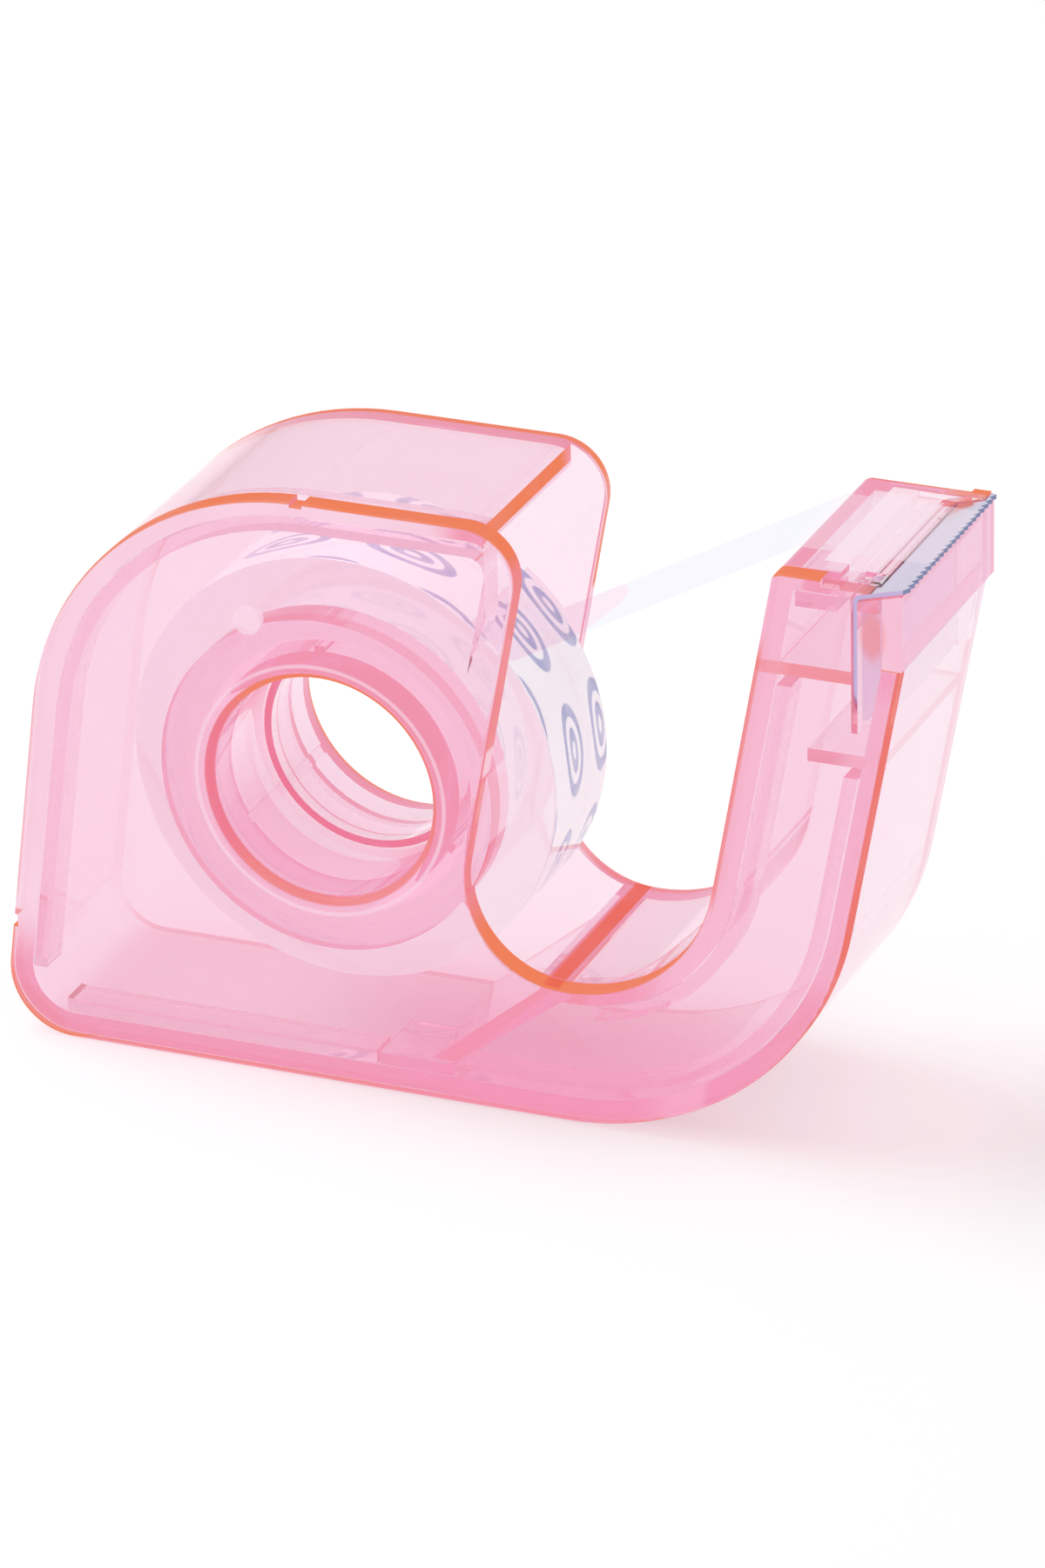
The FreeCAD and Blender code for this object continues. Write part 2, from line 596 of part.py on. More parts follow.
def tape_leader():
    """Free tape: still following the roll, peeled off it, then up and over the head to the teeth."""
    inner_r = WOUND_R + PEEL_GAP
    rise = math.radians(FILM_RISE)
    land_z = HEAD_TOP_Z + FILM_GAP
    tip_x = NOSE_X + BLADE_OVERHANG
    tip_z = flange_z(tip_x) + BLADE_T / math.cos(math.radians(BLADE_TILT)) + FILM_GAP
    crest_x = arm_inner_x(HEAD_TOP_Z) + FILM_CREST
    # Point where a line at the given rise, through the crest, meets the circle that the tape follows
    run = Vector(math.cos(rise), 0, math.sin(rise))
    to_axis = Vector(0, 0, AXIS_Z) - Vector(crest_x, 0, land_z)
    along = to_axis.dot(run)
    off = math.sqrt(max(to_axis.Length ** 2 - along ** 2, 0))
    back = along + math.sqrt(inner_r ** 2 - off ** 2)
    peel = Vector(crest_x, 0, land_z) + run * back
    peel_angle = math.degrees(math.atan2(peel.z - AXIS_Z, peel.x))
    start_angle = math.radians(peel_angle + HUG_TURN)
    mid_angle = math.radians(peel_angle + HUG_TURN / 2)
    path = [
        polar(inner_r, start_angle),
        polar(inner_r, mid_angle),
        peel,
        Vector(crest_x, 0, land_z),
        Vector(LANDING_X, 0, land_z),
        Vector(tip_x, 0, tip_z),
    ]
    return thick_path(path)


def polar(radius, angle):
    return Vector(radius * math.cos(angle), 0, AXIS_Z + radius * math.sin(angle))


def thick_path(path):
    """Film of even thickness above a path whose first three points lie on an arc."""
    start, mid, peel, crest, edge, tip = path
    arc = Part.Arc(start, mid, peel).toShape()
    film = Part.Wire([arc, Part.makeLine(peel, crest), Part.makeLine(crest, edge), Part.makeLine(edge, tip)])
    band = film.makeOffset2D(FILM_T, 0, True, True, False)
    face = band if band.ShapeType == "Face" else band.Faces[0]
    return slab(face, ROLL_Y0, ROLL_Y1)


PARTS = {
    "far_shell": far_shell,
    "near_cover": near_cover,
    "cutter_blade": cutter_blade,
    "tape_core": tape_core,
    "tape_winding": tape_winding,
    "tape_leader": tape_leader,
}

os.makedirs("parts", exist_ok=True)
for name, make in PARTS.items():
    shape = make()
    if not shape.isValid() or shape.Volume <= 0:
        raise ValueError("bad solid: " + name)
    print(name, len(shape.Solids), "solid", round(shape.Volume, 1), "mm3")
    shape.exportStep("parts/" + name + ".step")
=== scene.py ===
"""Clear pink tape dispenser: finishes for the moulded case, the steel cutter and the roll of clear tape."""
import math

import bpy
import numpy as np
from mathutils import Matrix, Vector


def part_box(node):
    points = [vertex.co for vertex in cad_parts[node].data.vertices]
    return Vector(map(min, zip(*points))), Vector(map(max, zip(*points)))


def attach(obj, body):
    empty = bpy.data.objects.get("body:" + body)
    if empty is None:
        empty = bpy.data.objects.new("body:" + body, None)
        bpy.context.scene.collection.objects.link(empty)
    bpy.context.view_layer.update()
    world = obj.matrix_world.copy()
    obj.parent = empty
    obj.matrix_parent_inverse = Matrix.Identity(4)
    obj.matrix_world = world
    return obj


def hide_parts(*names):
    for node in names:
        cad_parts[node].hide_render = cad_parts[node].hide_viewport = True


bl_info = {
    "name": "Clear tape dispenser",
    "version": (1, 0, 0),
    "blender": (4, 5, 0),
    "location": "3D View > Sidebar > Dispenser",
    "description": "Dresses a moulded tape dispenser: clear case, toothed cutter, printed core, wound and free tape",
    "category": "Object",
}

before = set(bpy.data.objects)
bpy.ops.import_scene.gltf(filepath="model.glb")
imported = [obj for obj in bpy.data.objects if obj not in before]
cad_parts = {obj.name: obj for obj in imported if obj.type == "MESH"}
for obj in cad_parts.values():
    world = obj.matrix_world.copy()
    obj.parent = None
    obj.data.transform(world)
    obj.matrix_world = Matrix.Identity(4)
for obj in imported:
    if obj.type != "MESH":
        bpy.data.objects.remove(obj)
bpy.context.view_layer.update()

MM = 0.001
SHELL_LOW, SHELL_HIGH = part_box("far_shell")
CORE_LOW, CORE_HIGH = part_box("tape_core")
WOUND_LOW, WOUND_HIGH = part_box("tape_winding")
AXIS_Z = (CORE_LOW.z + CORE_HIGH.z) / 2
CORE_R = (CORE_HIGH.x - CORE_LOW.x) / 2
WOUND_R = (WOUND_HIGH.x - WOUND_LOW.x) / 2
HALF = SHELL_HIGH.y / MM           # middle to a side face, in millimetres
SIDE_WALL = 1.9                    # side walls of both mouldings, in millimetres
SEAM = SIDE_WALL - HALF            # cover's inner face
INNER = HALF - SIDE_WALL           # shell's inner face
EJECTOR = (-6.5 * MM, 43.6 * MM)   # mark on the cover, X and Z
HEEL = (-25.05 * MM, 6.0 * MM)     # centre of the rounded lower back corner, X and Z
ARM_LEAN = 0.189                   # run of the arm's edges per height
BACK_LEAN = 0.13                   # run of the back edge per height

# Places on the mouldings, in millimetres in the frame
ARM_X, BACK_X = 37.4, -28.2        # arm's inner edge and back edge at the axis' height
NOSE_Z = 47.7                      # underside of the nose
ARM_START = (26, 30)               # X from the house to the arm
MOUTH_X = (15.3, 15.9)             # rim wall's end at the mouth, X
MOUTH_TOP = 53.55                  # height between the rib's end and the rim wall's end there
GAP_END_X, GAP_END_Z = (19.9, 22.3), (12.5, 13.0)    # rim wall's end in the finger gap
SLOT_X, SLOT_Z = (49.2, 50.8), (41.3, 54.0)          # cutter's slot
LANDING_X, LANDING_Y = (45.7, 50.3), (-7.6, 9.6)     # strip where the tape lies before the teeth
PARTITION_X, PARTITION_SLOPE = 6.5, 13.5 / 12.75     # partition at the base, and its run per height
BLOB, BLOB_SIZE = (51.6, 50.9), (1.5, 3.2)           # light beside the cutter's leg: centre and radii, X and Z
TEETH_X = (53.5, 53.7)             # from the flange to the teeth
BESIDE_ROLL_X, ON_HEAD_X = (24.3, 23.9), (41, 43)    # where the free tape's tint changes

# Plastic, film and core
PLASTIC_IOR = 1.49
SEEN_DYE = (0.0, 0.0, 0.24)                # what the dye leaves of what is seen
LIGHT_DYE = (0.99, 0.8, 0.86)              # what it leaves of lamp light and bounced light
PLASTIC_SHADE = (0.96, 0.91, 0.925, 1.0)   # tint of the plastic's shadow
FILM_IOR = 1.47
FILM_SHADE = (0.98, 0.98, 0.99, 1.0)       # tint of the film's shadow
# The film's milkiness is painted as its own light.
FILM_HAZE_GLOW, END_HAZE_GLOW = 0.03, 0.72           # milkiness of the film, and what the winding's ends have more
CORE_LIGHT = 0.4                           # own light of the core, for light that wanders in the film
SMALL_OVAL = (0.5, 0.42)                   # inner oval to the motif, along and across

# Shades that aren't set in the panel, 0-255
STEEL_LINES = (224, 219, 239), (232, 227, 247)
# Painted shade: darker cut ends and teeth of the cutter.
STEEL_END_SHADE, TEETH_SHADE = (196, 176, 216), (136, 142, 176)
CORE_WHITE = (250, 247, 252)
# Colours of the film's milkiness, painted as its own light.
FILM_MILK_GLOW, END_MILK_GLOW = (250, 236, 245), (246, 220, 233)
# The pink beside the roll is a painted reflection of the case.
FREE_TINT, BESIDE_ROLL_REFLECTION, ON_HEAD_TINT = (250, 250, 254), (252, 244, 249), (253, 251, 253)
FREE_SHEEN, ON_HEAD_SHEEN = (250, 249, 255), (255, 246, 250)

# Stage
FLOOR_HALF = 1.5
FLOOR_LEVEL = -0.1 * MM
FLOOR_WHITE = (0.9, 0.9, 0.9, 1.0)
FLOOR_LIFT = 0.235                         # own light of the floor where it is seen
KEY_PLACE, KEY_AIM, KEY_SIZE = (-0.42, -0.02, 0.91), (0.01, 0, 0.02), 0.7
CAMERA_CLIP = (0.01, 20.0)
LIGHT_BOUNCES = 32                         # the case has many clear walls behind each other


# ---------------------------------------------------------------- node helpers

class Nodes:
    """Short hand for building one node tree, a material's or the world's."""

    def __init__(self, owner, output="ShaderNodeOutputMaterial"):
        owner.use_nodes = True
        self.owner = owner
        self.tree = owner.node_tree
        self.tree.nodes.clear()
        self.output = self.add(output)

    def add(self, kind, **settings):
        node = self.tree.nodes.new(kind)
        for key, value in settings.items():
            setattr(node, key, value)
        return node

    def link(self, source, target):
        self.tree.links.new(source, target)

    def feed(self, socket, value):
        """Links a socket, or sets its number or colour."""
        if isinstance(value, bpy.types.NodeSocket):
            self.link(value, socket)
        elif value is not None:
            socket.default_value = value

    def math(self, operation, a, b=None, c=None, clamp=False):
        node = self.add("ShaderNodeMath", operation=operation, use_clamp=clamp)
        for socket, value in zip(node.inputs, (a, b, c)):
            self.feed(socket, value)
        return node.outputs[0]

    def step(self, value, low, high):
        """0 below low, 1 above high, smooth between; low may be above high."""
        node = self.add("ShaderNodeMapRange", interpolation_type="SMOOTHSTEP")
        for key, number in zip(("Value", "From Min", "From Max"), (value, low, high)):
            self.feed(node.inputs[key], number)
        return node.outputs[0]

    def ramp(self, value, low, high):
        """As step, with low and high in millimetres."""
        return self.step(value, low * MM, high * MM)

    def band(self, value, low, high, soft=0.1):
        """1 between low and high, fading over a soft width inside them, all in millimetres."""
        return self.times(self.ramp(value, low, low + soft), self.ramp(value, high, high - soft))

    def times(self, *values):
        """Product of masks."""
        result = values[0]
        for value in values[1:]:
            result = self.math("MULTIPLY", result, value)
        return result

    def most(self, *values):
        """Largest of masks."""
        result = values[0]
        for value in values[1:]:
            result = self.math("MAXIMUM", result, value)
        return result

    def place(self):
        """x, y, z of the point, in metres in the frame."""
        split = self.add("ShaderNodeSeparateXYZ")
        self.link(self.add("ShaderNodeTexCoord").outputs["Object"], split.inputs[0])
        return split.outputs

    def outward(self):
        """x, y, z of the face's own direction, whichever side a ray meets."""
        geometry = self.add("ShaderNodeNewGeometry")
        split = self.add("ShaderNodeSeparateXYZ")
        self.link(geometry.outputs["Normal"], split.inputs[0])
        sign = self.math("MULTIPLY_ADD", geometry.outputs["Backfacing"], -2.0, 1.0)
        return [self.math("MULTIPLY", socket, sign) for socket in split.outputs]

    def flip(self, value):
        return self.math("MULTIPLY", value, -1.0)

    def rest(self, mask):
        """1 where the mask is 0."""
        return self.math("SUBTRACT", 1.0, mask)

    def distance(self, x, z, x0, z0):
        """Distance in the XZ plane from a fixed point."""
        a = self.math("SUBTRACT", x, x0)
        b = self.math("SUBTRACT", z, z0)
        return self.math("SQRT", self.math("ADD", self.math("MULTIPLY", a, a), self.math("MULTIPLY", b, b)))

    def reach(self, x, z):
        """Distance from the roll's axis."""
        return self.distance(x, z, 0.0, AXIS_Z)

    def noise(self, scale, detail=2.0, stretch=(1, 1, 1)):
        mapping = self.add("ShaderNodeMapping")
        mapping.inputs["Scale"].default_value = stretch
        self.link(self.add("ShaderNodeTexCoord").outputs["Object"], mapping.inputs["Vector"])
        texture = self.add("ShaderNodeTexNoise")
        self.link(mapping.outputs[0], texture.inputs["Vector"])
        texture.inputs["Scale"].default_value = scale
        texture.inputs["Detail"].default_value = detail
        return texture.outputs["Fac"]

    def bump(self, height, distance, strength=1.0):
        node = self.add("ShaderNodeBump")
        node.inputs["Strength"].default_value = strength
        node.inputs["Distance"].default_value = distance
        self.feed(node.inputs["Height"], height)
        return node.outputs[0]

    def colour(self, factor, a, b):
        node = self.add("ShaderNodeMix", data_type="RGBA")
        self.feed(node.inputs[0], factor)
        self.feed(node.inputs[6], a)
        self.feed(node.inputs[7], b)
        return node.outputs[2]

    def blend(self, factor, a, b):
        node = self.add("ShaderNodeMixShader")
        self.feed(node.inputs[0], factor)
        self.link(a, node.inputs[1])
        self.link(b, node.inputs[2])
        return node.outputs[0]

    def emit(self, colour, strength=1.0):
        node = self.add("ShaderNodeEmission")
        self.feed(node.inputs["Color"], colour)
        self.feed(node.inputs["Strength"], strength)
        return node.outputs[0]

    def both(self, a, b):
        """Sum of two shaders."""
        node = self.add("ShaderNodeAddShader")
        self.link(a, node.inputs[0])
        self.link(b, node.inputs[1])
        return node.outputs[0]

    def clear(self, colour):
        node = self.add("ShaderNodeBsdfTransparent")
        self.feed(node.inputs["Color"], colour)
        return node.outputs[0]

    def soak(self, colour, density):
        """Dye inside a piece."""
        node = self.add("ShaderNodeVolumeAbsorption")
        node.inputs["Color"].default_value = (*colour, 1.0)
        node.inputs["Density"].default_value = density
        return node.outputs[0]

    def sky(self, strength):
        node = self.add("ShaderNodeBackground")
        node.inputs["Strength"].default_value = strength
        return node.outputs[0]

    def surface(self, normal=None, **sockets):
        node = self.add("ShaderNodeBsdfPrincipled")
        for key, value in sockets.items():
            self.feed(node.inputs[key.replace("_", " ")], value)
        if normal is not None:
            self.link(normal, node.inputs["Normal"])
        return node.outputs[0]

    def light_ray(self):
        """1 for lamp light and bounced light, 0 for what is seen."""
        path = self.add("ShaderNodeLightPath")
        return self.most(path.outputs["Is Shadow Ray"], path.outputs["Is Diffuse Ray"])

    def seen_ray(self):
        """1 for what is seen, in a mirror or through a clear piece too."""
        path = self.add("ShaderNodeLightPath")
        return self.most(path.outputs["Is Camera Ray"], path.outputs["Is Glossy Ray"],
                         path.outputs["Is Transmission Ray"])

    def light_passes(self, shader, tint):
        """Lets lamp light and bounced light through, tinted, so that a clear piece casts a pale shadow."""
        return self.blend(self.light_ray(), shader, self.clear(tint))

    def finish(self, shader, volume=None):
        self.link(shader, self.output.inputs["Surface"])
        if volume is not None:
            self.link(volume, self.output.inputs["Volume"])
        return self.owner


def finish_of(name):
    """Nodes of a new material."""
    return Nodes(bpy.data.materials.new(name))


def dress(node, material):
    """Puts one material in all of a CAD node's slots."""
    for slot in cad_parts[node].material_slots:
        slot.material = material


# ---------------------------------------------------------------- sizes and colours

def linear(colour):
    """sRGB 0-255 to the linear RGBA that sockets take."""
    def one(value):
        value /= 255
        return value / 12.92 if value <= 0.04045 else ((value + 0.055) / 1.055) ** 2.4
    return tuple(one(v) for v in colour) + (1.0,)


class CaseSettings(bpy.types.PropertyGroup):
    """Plastic of the two mouldings."""

    density: bpy.props.FloatProperty(
        name="Dye", description="How fast the plastic goes to its body colour, per metre", default=150.0, min=0)
    # A thick piece ends at this colour through painted light in the volume, in step with the dye.
    body: bpy.props.FloatVectorProperty(
        name="Body colour", description="Colour of a very thick piece", subtype="COLOR",
        default=(0.88, 0.27, 0.42), min=0, max=1)
    glow: bpy.props.FloatVectorProperty(
        name="Orange glow", description="Light at edges that face up, the hub's mouths, the wall's end and the heel",
        subtype="COLOR", default=(0.87, 0.215, 0.085), min=0, max=1)
    ember: bpy.props.FloatVectorProperty(
        name="Ember glow", description="Light at the arm's front edge and the wall's end in the finger gap",
        subtype="COLOR", default=(0.84, 0.14, 0.09), min=0, max=1)
    salmon: bpy.props.FloatVectorProperty(
        name="Salmon glow", description="Light at edges that face forward or down, the shelf and the hub's mouths",
        subtype="COLOR", default=(0.87, 0.22, 0.20), min=0, max=1)
    rose: bpy.props.FloatVectorProperty(
        name="Rose glow", description="Light at the spigot, the land round the hub and the far edges",
        subtype="COLOR", default=(0.85, 0.18, 0.30), min=0, max=1)
    # Painted light: pink laid on the cover along the base, towards the arm.
    bloom: bpy.props.FloatVectorProperty(
        name="Bloom", description="Pink that gathers along the base, towards the arm",
        subtype="COLOR", default=linear((247, 150, 188))[:3], min=0, max=1)
    # Painted light: a deeper pink in the lower half of the hub's bore.
    depth: bpy.props.FloatVectorProperty(
        name="Hub depth", description="Pink that gathers in the lower half of the hub's bore",
        subtype="COLOR", default=linear((240, 138, 180))[:3], min=0, max=1)
    blush: bpy.props.FloatVectorProperty(
        name="Blush", description="Light at the ends of the arm's two rim walls",
        subtype="COLOR", default=linear((252, 212, 230))[:3], min=0, max=1)
    # Painted pale pink light on the nose's front.
    nose: bpy.props.FloatVectorProperty(
        name="Nose", description="Colour of the nose's front", subtype="COLOR",
        default=linear((244, 198, 221))[:3], min=0, max=1)
    pale: bpy.props.FloatVectorProperty(
        name="Pale light", description="Light at the hub's mouth, the far wall's forward edges and the ejector mark",
        subtype="COLOR", default=(0.96, 0.70, 0.82), min=0, max=1)
    strip: bpy.props.FloatVectorProperty(
        name="Tape's strip", description="Light where the tape lies before the teeth", subtype="COLOR",
        default=linear((252, 230, 240))[:3], min=0, max=1)
    # Painted pale light at the end of the rim wall round the roll.
    milky_light: bpy.props.FloatVectorProperty(
        name="Milky light", description="Light at the end of the rim wall round the roll", subtype="COLOR",
        default=linear((253, 232, 242))[:3], min=0, max=1)
    # Painted pale light on the arm's front.
    arm_front_light: bpy.props.FloatVectorProperty(
        name="Frost", description="Light on the arm's front", subtype="COLOR",
        default=linear((254, 248, 251))[:3], min=0, max=1)


class RollSettings(bpy.types.PropertyGroup):
    """Printed core and wound film."""

    ink: bpy.props.FloatVectorProperty(
        name="Ink", description="Colour of the printed pattern", subtype="COLOR",
        default=(0.22, 0.26, 0.55), min=0, max=1)
    motifs: bpy.props.IntProperty(
        name="Motifs", description="Motifs round the core", default=9, min=3)
    rows: bpy.props.IntProperty(
        name="Rows", description="Rows of motifs across the core", default=2, min=1)
    motif_length: bpy.props.FloatProperty(
        name="Motif length", description="Length of one motif round the core", default=7.6 * MM, unit="LENGTH")
    motif_width: bpy.props.FloatProperty(
        name="Motif width", description="Width of one motif across the core", default=3.8 * MM, unit="LENGTH")
    film_grip: bpy.props.FloatProperty(
        name="Film grip", description="How far the film's inner turn reaches into the print", default=0.05 * MM,
        unit="LENGTH")
    film_corner: bpy.props.FloatProperty(
        name="Film corner", description="Rounding of the winding's corners", default=0.15 * MM, unit="LENGTH")
    film_segments: bpy.props.IntProperty(
        name="Film segments", description="Faces round the winding", default=360, min=24)


class StageSettings(bpy.types.PropertyGroup):
    """Camera, floor and light."""

    turn: bpy.props.FloatProperty(
        name="Turn", description="Camera's turn to the right of the front", default=math.radians(22.93),
        subtype="ANGLE")
    rise: bpy.props.FloatProperty(
        name="Rise", description="Camera's height as an angle", default=math.radians(24.74), subtype="ANGLE")
    roll: bpy.props.FloatProperty(
        name="Roll", description="Camera's roll", default=math.radians(-1.18), subtype="ANGLE")
    distance: bpy.props.FloatProperty(
        name="Distance", description="Camera to the hub's near face", default=0.7919, unit="LENGTH")
    lens: bpy.props.FloatProperty(name="Lens", description="Focal length in millimetres", default=208.0, min=1)
    aim_right: bpy.props.FloatProperty(
        name="Aim right", description="Aim point to the right of the hub's near face", default=17.75 * MM,
        unit="LENGTH")
    aim_up: bpy.props.FloatProperty(
        name="Aim up", description="Aim point above the hub's near face", default=0.63 * MM, unit="LENGTH")
    sky: bpy.props.FloatProperty(name="Sky", description="Level of the even light", default=0.60, min=0)
    key: bpy.props.FloatProperty(name="Key", description="Power of the soft lamp in watts", default=5.0, min=0)


# ---------------------------------------------------------------- materials

class CasePoint:
    """Sockets that every light on the mouldings reads: the point's place, its facing and shared masks.

    x, y and z are the place, reach is the distance from the roll's axis, aside how far a face looks to either side,
    lean the distance in front of the arm's leaning inner edge. The functions that follow each give one group of
    lights as (mask, colour, share), with bare lengths in millimetres in the frame.
    """

    def __init__(self, n):
        self.x, self.y, self.z = n.place()
        self.nx, self.ny, self.nz = n.outward()
        self.reach = n.reach(self.x, self.z)
        self.above_axis = n.math("SUBTRACT", self.z, AXIS_Z)
        self.aside = n.math("ABSOLUTE", self.ny)
        self.toward = n.step(n.flip(self.ny), 0.8, 0.95)        # looks to the cover's side
        self.full_up = n.step(self.nz, 0.9, 0.97)
        self.full_forward = n.step(self.nx, 0.9, 0.97)
        self.skin = n.ramp(self.y, -9.7, -9.8)                  # the cover itself, without what it carries
        self.outer = n.times(self.toward, self.skin)
        self.at_seam = n.times(self.toward, n.band(self.y, SEAM, SEAM + 0.3, 0.02))    # shell's ends at the cover
        self.nose = n.ramp(self.z, NOSE_Z, NOSE_Z + 0.1)
        self.lean = n.math("MULTIPLY_ADD", self.above_axis, -ARM_LEAN, n.math("SUBTRACT", self.x, ARM_X * MM))


def base_light(n, p, settings):
    """Broad light: the rim wall round the roll, and the base towards the arm."""
    # Painted pale light on the rim wall's end round the roll
    rim_end = n.times(p.at_seam, n.ramp(p.x, 14, 10), n.ramp(p.z, 5, 12))
    # Painted pink light along the base, towards the arm
    base_glow = n.times(p.outer, n.ramp(p.z, 17, 5), n.ramp(p.x, -2, 14), n.ramp(p.x, 48, 34))
    return ((rim_end, settings.milky_light, 0.9), (base_glow, settings.bloom, 0.45))


def edge_light(n, p, settings):
    """Cut edges of the two side walls, away from the hub, the ejector mark and the cutter's slot."""
    left = n.step(n.flip(p.nx), 0.4, 0.9)
    down = n.step(n.flip(p.nz), 0.4, 0.9)
    rising = n.step(p.nz, 0.15, 0.6)
    forward = n.step(p.nx, 0.45, 0.85)
    slot = n.times(n.band(p.x, *SLOT_X, 0.05), n.band(p.z, *SLOT_Z, 0.05))
    mark = n.ramp(n.distance(p.x, p.z, *EJECTOR), 2.0, 1.8)
    edge = n.times(n.step(p.aside, 0.95, 0.8), n.ramp(p.reach, 13.0, 13.5), n.rest(slot), n.rest(mark))
    near = n.times(edge, n.ramp(p.y, SEAM + 0.02, SEAM - 0.02))
    back = n.times(edge, n.ramp(p.y, INNER, INNER + 0.1))
    arm = n.ramp(p.x, *ARM_START)
    far = n.times(back, n.ramp(n.math("MULTIPLY_ADD", arm, -0.5 * MM, p.y), HALF - 1.6, HALF - 1.35))
    house = n.rest(arm)
    below_nose = n.rest(p.nose)
    stepped = n.times(arm, n.ramp(p.z, 55.1, 54.9), n.ramp(p.z, 53, 53.5))
    valley = n.times(n.ramp(p.z, 30, 24), n.ramp(p.x, 10, 12))
    return (
        (n.times(back, forward), settings.pale, 0.75),
        (n.times(near, left, arm, below_nose), settings.salmon, 0.6),
        (n.times(near, down, below_nose), settings.salmon, 0.85),
        (n.times(far, down), settings.rose, 0.4),
        (n.times(near, forward, house), settings.salmon, 0.75),
        (n.times(far, forward, house, n.ramp(p.z, 41, 42)), settings.glow, 0.8),
        (n.times(near, forward, arm, below_nose), settings.ember, 0.85),
        (n.times(far, forward, arm, p.nose), settings.salmon, 0.55),
        (n.times(near, rising, n.rest(stepped)), settings.glow, 0.95),
        (n.times(near, rising, stepped), settings.salmon, 0.25),
        (n.times(far, rising, n.rest(valley)), settings.glow, 0.85),
        (n.times(far, rising, valley), settings.salmon, 0.6),
        (n.times(far, rising, arm, n.ramp(p.x, 46.5, 45.5)), settings.rose, 0.5),
    )


def wall_light(n, p, settings):
    """Ends of the rim wall at the mouth and in the finger gap, the locating rib's end and the partition."""
    at_mouth = n.times(p.full_forward, n.band(p.x, *MOUTH_X))
    top_end = n.times(at_mouth, n.ramp(p.z, MOUTH_TOP - 0.05, MOUTH_TOP + 0.05), n.ramp(p.y, 10.5, 7.0))
    rib_end = n.times(at_mouth, n.ramp(p.z, MOUTH_TOP + 0.05, MOUTH_TOP - 0.05))
    gap_end = n.times(p.full_up, n.band(p.x, *GAP_END_X, 0.2), n.band(p.z, *GAP_END_Z))
    slant = n.math("SUBTRACT", p.x, n.math("MULTIPLY_ADD", p.z, PARTITION_SLOPE, PARTITION_X * MM))
    partition = n.times(p.at_seam, n.band(slant, -0.2, 2.2, 0.4), n.band(p.z, 1.8, 12))
    return (
        (top_end, settings.glow, 0.95),
        (rib_end, settings.pale, 0.8),
        (gap_end, settings.ember, 0.9),
        (partition, settings.salmon, 0.4),
    )


def hub_light(n, p, settings):
    """Both mouths of the hub, its bore, the spigot's end and the land round it."""
    mouth = n.ramp(n.math("ABSOLUTE", p.y), HALF - 1.0, HALF - 0.7)
    ring = n.times(mouth, n.ramp(p.reach, 11.15, 10.95))
    far_ring = n.times(n.ramp(p.y, HALF - 1.5, HALF - 1.1), n.ramp(p.reach, 11.5, 11.2))
    # Painted deeper pink light in the lower half of the bore
    bore = n.times(n.ramp(p.reach, 11.0, 10.8), n.band(p.y, -10.2, -2.8, 0.3), n.ramp(p.above_axis, 2, -7))
    shine = n.times(n.ramp(n.flip(p.y), 0, 1), mouth, n.band(p.reach, 11.5, 12.1, 0.25))
    land = n.times(n.step(p.aside, 0.6, 0.4), n.band(p.reach, 15.5, 15.8, 0.05), n.ramp(p.y, -8.0, -8.2))
    spigot = n.times(p.toward, n.ramp(p.reach, 10.6, 10.4), n.band(p.y, -2.6, 2.0))
    return (
        (ring, settings.salmon, 0.85),
        (n.times(ring, n.ramp(p.above_axis, 2, 9)), settings.glow, 0.8),
        (n.times(ring, n.ramp(p.x, -6, -10)), settings.rose, 0.7),
        (far_ring, settings.glow, 0.75),
        (bore, settings.depth, 0.35),
        (shine, settings.pale, 0.6),
        (land, settings.rose, 0.45),
        (spigot, settings.rose, 0.85),
    )


def arm_light(n, p, settings):
    """Arm and head: rim wall's ends, upper shelf, the light beside the blade's leg, the strip and the nose."""
    inner_end = n.times(p.at_seam, n.ramp(p.lean, 3.0, 2.2), n.ramp(p.x, 28, 33))
    outer_end = n.times(p.at_seam, n.ramp(p.lean, 8, 10), n.band(p.z, 14, 47, 4))
    shelf = n.times(p.at_seam, n.band(p.z, 45.4, 46.8, 0.2), n.band(p.x, 40.5, 49.8, 0.5))
    brow = n.times(p.outer, n.ramp(p.x, 52.3, 52.5), p.nose)
    across = n.math("DIVIDE", n.math("SUBTRACT", p.x, BLOB[0] * MM), BLOB_SIZE[0] * MM)
    along = n.math("DIVIDE", n.math("SUBTRACT", p.z, BLOB[1] * MM), BLOB_SIZE[1] * MM)
    away = n.math("SQRT", n.math("ADD", n.math("MULTIPLY", across, across), n.math("MULTIPLY", along, along)))
    blob = n.times(p.outer, n.step(away, 1.0, 0.4))
    mark = n.times(n.ramp(n.distance(p.x, p.z, *EJECTOR), 1.5, 1.2), p.skin)
    # Painted pale light on the arm's forward faces, below the nose
    front = n.times(n.step(p.nx, 0.3, 0.7), n.ramp(p.lean, 6, 9), n.ramp(p.z, 47.9, 47.6),
                    n.step(p.aside, 0.3, 0.1), n.ramp(p.y, SEAM, -9.5))
    level_or_step = n.most(p.full_up, n.times(p.full_forward, n.band(p.x, 47.9, 48.2, 0.05)))
    strip = n.times(level_or_step, n.band(p.x, *LANDING_X), n.ramp(p.z, 52.4, 52.6), n.band(p.y, *LANDING_Y, 0.2))
    # Painted pale pink light on the nose's front
    nose_front = n.times(p.full_forward, n.ramp(p.x, 53.8, 54.0), n.ramp(p.z, 47.8, 48.0))
    return (
        (inner_end, settings.blush, 0.6),
        (outer_end, settings.blush, 0.35),
        (shelf, settings.salmon, 0.7),
        (brow, settings.pale, 0.6),
        (blob, settings.salmon, 0.65),
        (mark, settings.pale, 0.75),
        (front, settings.arm_front_light, 0.4),
        (strip, settings.strip, 0.85),
        (nose_front, settings.nose, 0.7),
    )


